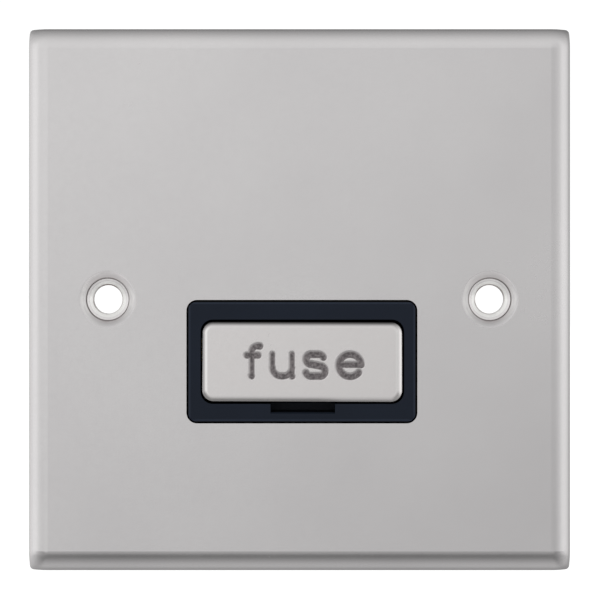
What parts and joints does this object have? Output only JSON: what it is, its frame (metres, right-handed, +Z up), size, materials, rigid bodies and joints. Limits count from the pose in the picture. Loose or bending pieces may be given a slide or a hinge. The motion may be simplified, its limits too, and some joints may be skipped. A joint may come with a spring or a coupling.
{
  "type": "fused spur unit",
  "caption": "Square one-gang fused connection plate in satin metal with a black frame, a pull-out fuse drawer below the middle, countersunk fixing holes and rear screw terminals.",
  "frame": {"origin": "on the wall plane, which is the flat rear rim of the plate, at the plate's centre. The middle of the two fixing holes is 0.12 mm left of it and 0.06 mm above it, as measured from the picture", "axes": "+Z up, the front faces -Y, +X to the right as seen from the front, +Y into the wall"},
  "size_m": [0.086, 0.0253, 0.086],
  "materials": {
    "satin_steel": "fine satin, no visible grain",
    "black_moulding": "matte black moulding",
    "carrier_moulding": "matte black moulding",
    "fuse_ceramic": "unglazed white",
    "plated_cap": "bright nickel plate",
    "fuse_wire": "plain",
    "contact_brass": "rolled strip",
    "terminal_brass": "machined",
    "stud_steel": "plain bright steel",
    "spring_steel": "blued",
    "screw_steel": "zinc plate"
  },
  "bodies": {
    "plate_and_housing": {"front_plate": "satin_steel", "housing": "black_moulding", "rear_cover": "black_moulding", "supply_fuse_contact": "contact_brass", "load_fuse_contact": "contact_brass", "neutral_link": "contact_brass", "earth_strap": "contact_brass", "supply_live_block": "terminal_brass", "supply_neutral_block": "terminal_brass", "load_neutral_block": "terminal_brass", "load_live_block": "terminal_brass", "earth_block": "terminal_brass", "earth_stud": "stud_steel", "earth_nut": "terminal_brass", "plate_stud_top_left": "stud_steel", "push_washer_top_left": "spring_steel", "plate_stud_top_right": "stud_steel", "push_washer_top_right": "spring_steel", "plate_stud_bottom_left": "stud_steel", "push_washer_bottom_left": "spring_steel", "plate_stud_bottom_right": "stud_steel", "push_washer_bottom_right": "spring_steel", "cover_screw_left": "screw_steel", "cover_screw_right": "screw_steel"},
    "fuse_drawer": {"fuse_carrier": "carrier_moulding", "carrier_cap": "satin_steel", "fuse_tube": "fuse_ceramic", "fuse_end_cap_supply": "plated_cap", "fuse_end_cap_load": "plated_cap", "fuse_element": "fuse_wire"},
    "supply_live_clamp_screw": {"supply_live_screw": "screw_steel"},
    "supply_neutral_clamp_screw": {"supply_neutral_screw": "screw_steel"},
    "supply_earth_clamp_screw": {"supply_earth_screw": "screw_steel"},
    "load_earth_clamp_screw": {"load_earth_screw": "screw_steel"},
    "load_neutral_clamp_screw": {"load_neutral_screw": "screw_steel"},
    "load_live_clamp_screw": {"load_live_screw": "screw_steel"}
  },
  "joints": [
    {"name": "fuse_drawer_slide", "type": "slide", "parent": "plate_and_housing", "child": "fuse_drawer", "axis": [0, -1, 0], "range_m": [0, 0.011]},
    {"name": "supply_live_clamp", "type": "slide", "parent": "plate_and_housing", "child": "supply_live_clamp_screw", "axis": [0, -1, 0], "range_m": [0, 0.0036]},
    {"name": "supply_neutral_clamp", "type": "slide", "parent": "plate_and_housing", "child": "supply_neutral_clamp_screw", "axis": [0, -1, 0], "range_m": [0, 0.0036]},
    {"name": "supply_earth_clamp", "type": "slide", "parent": "plate_and_housing", "child": "supply_earth_clamp_screw", "axis": [0, -1, 0], "range_m": [0, 0.0036]},
    {"name": "load_earth_clamp", "type": "slide", "parent": "plate_and_housing", "child": "load_earth_clamp_screw", "axis": [0, -1, 0], "range_m": [0, 0.0036]},
    {"name": "load_neutral_clamp", "type": "slide", "parent": "plate_and_housing", "child": "load_neutral_clamp_screw", "axis": [0, -1, 0], "range_m": [0, 0.0036]},
    {"name": "load_live_clamp", "type": "slide", "parent": "plate_and_housing", "child": "load_live_clamp_screw", "axis": [0, -1, 0], "range_m": [0, 0.0036]}
  ]
}
